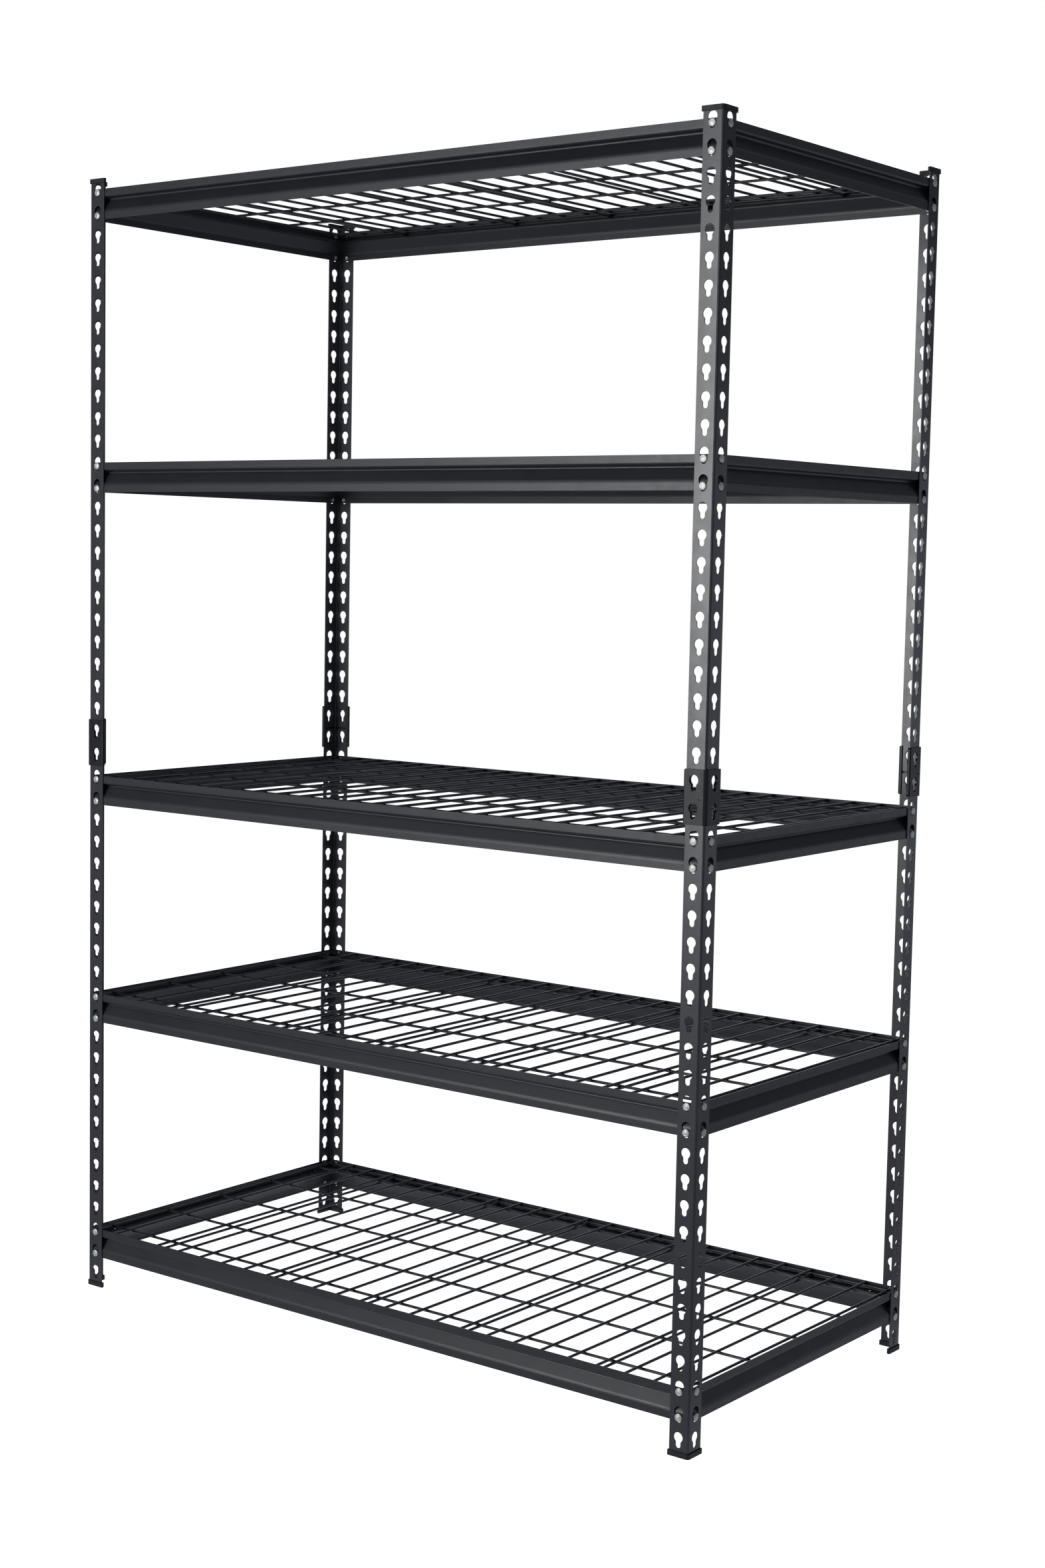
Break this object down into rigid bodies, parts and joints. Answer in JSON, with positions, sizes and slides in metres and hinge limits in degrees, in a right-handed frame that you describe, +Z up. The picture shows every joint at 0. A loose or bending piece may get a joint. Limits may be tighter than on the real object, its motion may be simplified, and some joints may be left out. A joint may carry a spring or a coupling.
{
  "type": "boltless shelving unit",
  "caption": "Boltless steel shelving: slotted angle posts in sleeved halves, folded channel beams hung on rivets, loose welded wire decks, plastic caps and feet.",
  "frame": {"origin": "on the floor, in the middle of the footprint", "axes": "+X along the long side, to the right seen from the front; +Y from the front to the back; +Z up"},
  "size_m": [1.2212, 0.6132, 1.8378],
  "materials": {
    "post_paint": "satin powder coat",
    "beam_paint": "satin powder coat",
    "coupler_paint": "smooth powder coat, a little glossier than the posts",
    "black_plastic": "moulded matte",
    "zinc": "bright zinc plate",
    "deck_paint": "satin powder coat"
  },
  "bodies": {
    "frame": {"post_lower_front_left": "post_paint", "post_upper_front_left": "post_paint", "post_lower_front_right": "post_paint", "post_upper_front_right": "post_paint", "post_lower_rear_right": "post_paint", "post_upper_rear_right": "post_paint", "post_lower_rear_left": "post_paint", "post_upper_rear_left": "post_paint", "coupler_front_left": "coupler_paint", "coupler_front_right": "coupler_paint", "coupler_rear_right": "coupler_paint", "coupler_rear_left": "coupler_paint", "cap_front_left": "black_plastic", "cap_front_right": "black_plastic", "cap_rear_right": "black_plastic", "cap_rear_left": "black_plastic", "foot_front_left": "black_plastic", "foot_front_right": "black_plastic", "foot_rear_right": "black_plastic", "foot_rear_left": "black_plastic", "beam_front_shelf_1": "beam_paint", "beam_rear_shelf_1": "beam_paint", "beam_left_shelf_1": "beam_paint", "beam_right_shelf_1": "beam_paint", "beam_front_shelf_2": "beam_paint", "beam_rear_shelf_2": "beam_paint", "beam_left_shelf_2": "beam_paint", "beam_right_shelf_2": "beam_paint", "beam_front_shelf_3": "beam_paint", "beam_rear_shelf_3": "beam_paint", "beam_left_shelf_3": "beam_paint", "beam_right_shelf_3": "beam_paint", "beam_front_shelf_4": "beam_paint", "beam_rear_shelf_4": "beam_paint", "beam_left_shelf_4": "beam_paint", "beam_right_shelf_4": "beam_paint", "beam_front_shelf_5": "beam_paint", "beam_rear_shelf_5": "beam_paint", "beam_left_shelf_5": "beam_paint", "beam_right_shelf_5": "beam_paint", "rivets_shelf_1": "zinc", "rivets_shelf_2": "zinc", "rivets_shelf_3": "zinc", "rivets_shelf_4": "zinc", "rivets_shelf_5": "zinc"},
    "deck_1": {"wire_deck_shelf_1": "deck_paint"},
    "deck_2": {"wire_deck_shelf_2": "deck_paint"},
    "deck_3": {"wire_deck_shelf_3": "deck_paint"},
    "deck_4": {"wire_deck_shelf_4": "deck_paint"},
    "deck_5": {"wire_deck_shelf_5": "deck_paint"}
  },
  "joints": [
    {"name": "deck_1_lift", "type": "slide", "parent": "frame", "child": "deck_1", "axis": [0, 0, 1], "range_m": [0, 0.1]},
    {"name": "deck_2_lift", "type": "slide", "parent": "frame", "child": "deck_2", "axis": [0, 0, 1], "range_m": [0, 0.385]},
    {"name": "deck_3_lift", "type": "slide", "parent": "frame", "child": "deck_3", "axis": [0, 0, 1], "range_m": [0, 0.46]},
    {"name": "deck_4_lift", "type": "slide", "parent": "frame", "child": "deck_4", "axis": [0, 0, 1], "range_m": [0, 0.31]},
    {"name": "deck_5_lift", "type": "slide", "parent": "frame", "child": "deck_5", "axis": [0, 0, 1], "range_m": [0, 0.35]}
  ]
}
